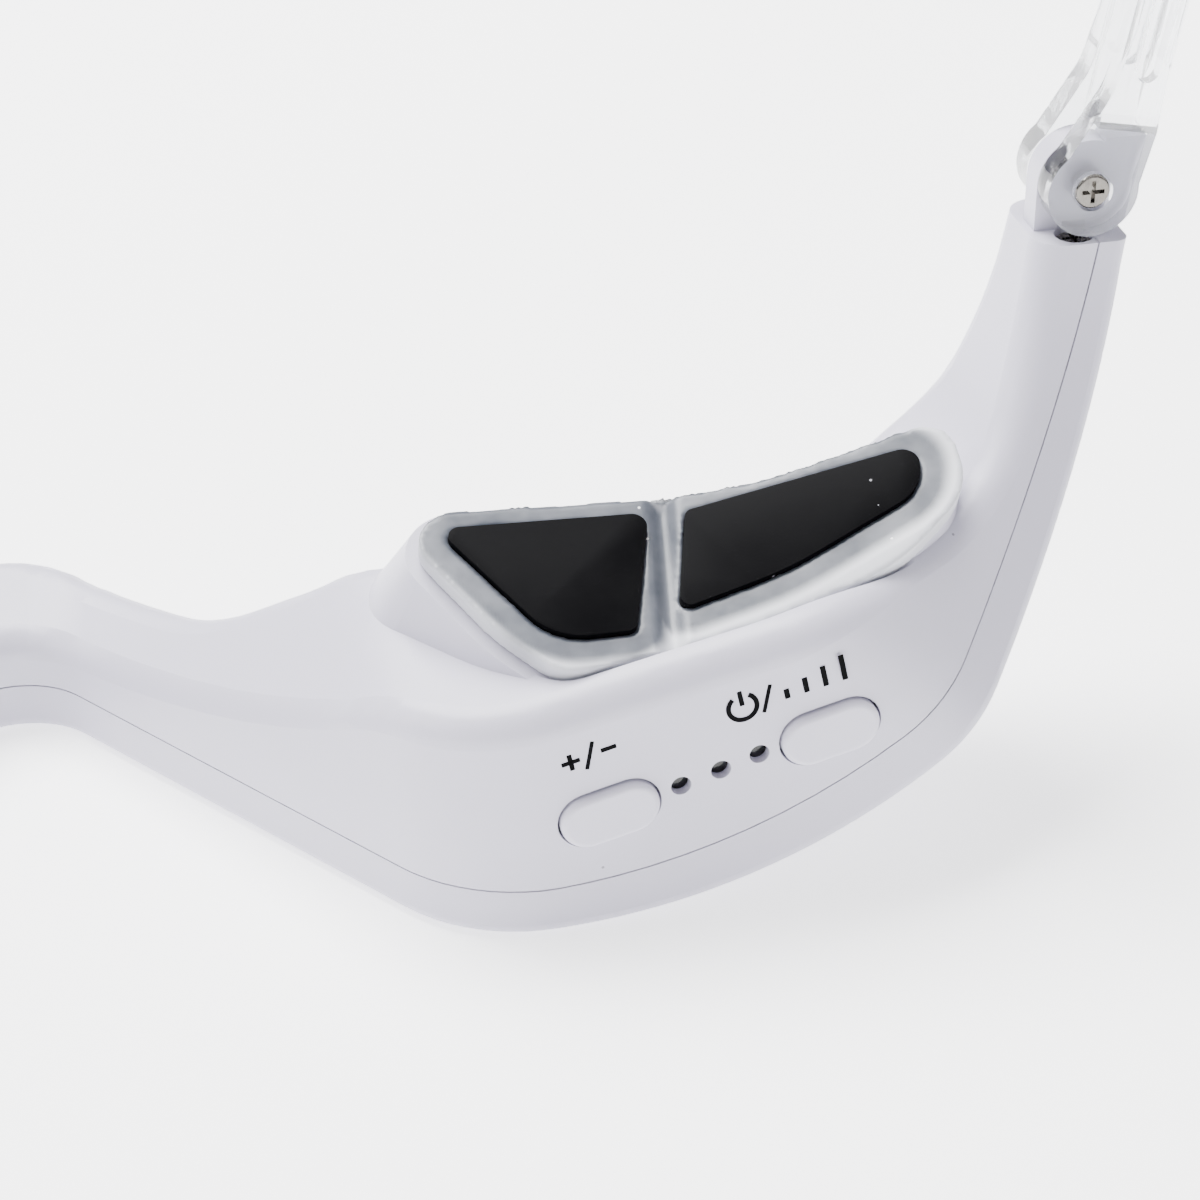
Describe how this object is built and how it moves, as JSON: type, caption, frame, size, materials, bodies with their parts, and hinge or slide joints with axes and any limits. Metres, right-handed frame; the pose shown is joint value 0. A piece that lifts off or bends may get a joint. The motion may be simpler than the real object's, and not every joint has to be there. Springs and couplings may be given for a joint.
{
  "type": "eye massager mask",
  "caption": "Under-eye massager worn like glasses: hollow frame from nose bridge to folding clear temples, with soft electrode pads, push buttons and a charging socket.",
  "frame": {"origin": "middle of the nose bridge on the flat front face, which is also the face it lies on", "axes": "X points to the wearer's right, Y up the wearer's face, Z back towards the wearer; the temples stand along Z"},
  "size_m": [0.1732, 0.0437, 0.1589],
  "materials": {
    "white_shell": "satin white ABS",
    "white_cover": "satin white ABS",
    "silicone_pad": "milky translucent silicone",
    "electrode": "glossy black conductive rubber",
    "pin_metal": "gold-plated brass",
    "button": "satin white ABS",
    "switch": "black nylon",
    "light_guide": "smoked acrylic",
    "lamp": "moulded lens",
    "board": "green solder mask",
    "small_screw": "zinc-plated steel",
    "chip": "moulded epoxy",
    "coil": "ferrite",
    "battery": "aluminium laminate pouch",
    "foam_tape": "black foam tape",
    "socket": "stamped steel shell",
    "power_cable": "black sheath",
    "pad_lead": "red sheath",
    "battery_lead": "red sheath",
    "steel_screw": "nickel-plated steel",
    "clear_temple": "clear polycarbonate"
  },
  "bodies": {
    "frame": {"rear_shell": "white_shell", "front_cover": "white_cover", "silicone_pad_right": "silicone_pad", "silicone_pad_left": "silicone_pad", "electrode_inner_right": "electrode", "electrode_outer_right": "electrode", "electrode_inner_left": "electrode", "electrode_outer_left": "electrode", "contact_pins_right": "pin_metal", "contact_pins_left": "pin_metal", "level_switch": "switch", "mode_switch": "switch", "light_guide": "light_guide", "status_lamps": "lamp", "control_board": "board", "board_screws": "small_screw", "control_chip": "chip", "boost_coil": "coil", "battery": "battery", "battery_tape": "foam_tape", "charging_socket": "socket", "charge_board": "board", "charge_board_screws": "small_screw", "charge_chip": "chip", "power_cable": "power_cable", "pad_leads_left": "pad_lead", "pad_leads_right": "pad_lead", "battery_leads": "battery_lead", "case_screws": "steel_screw", "end_screws": "steel_screw"},
    "temple_right": {"temple_right": "clear_temple", "hinge_screw_right": "steel_screw"},
    "temple_left": {"temple_left": "clear_temple", "hinge_screw_left": "steel_screw"},
    "level_button": {"level_button": "button"},
    "mode_button": {"mode_button": "button"}
  },
  "joints": [
    {"name": "temple_right_fold", "type": "hinge", "parent": "frame", "child": "temple_right", "pos_m": [0.07702, -0.01568, 0.0431], "axis": [0, -1, 0], "range_deg": [0, 90]},
    {"name": "temple_left_fold", "type": "hinge", "parent": "frame", "child": "temple_left", "pos_m": [-0.07702, -0.01568, 0.0431], "axis": [0, 1, 0], "range_deg": [0, 82]},
    {"name": "level_button_press", "type": "slide", "parent": "frame", "child": "level_button", "axis": [-0.0576, 0.9983, 0], "range_m": [0, 0.0004], "stiffness_N_per_m": 600, "springref_m": -0.0002},
    {"name": "mode_button_press", "type": "slide", "parent": "frame", "child": "mode_button", "axis": [-0.0576, 0.9983, 0], "range_m": [0, 0.0004], "stiffness_N_per_m": 600, "springref_m": -0.0002}
  ]
}
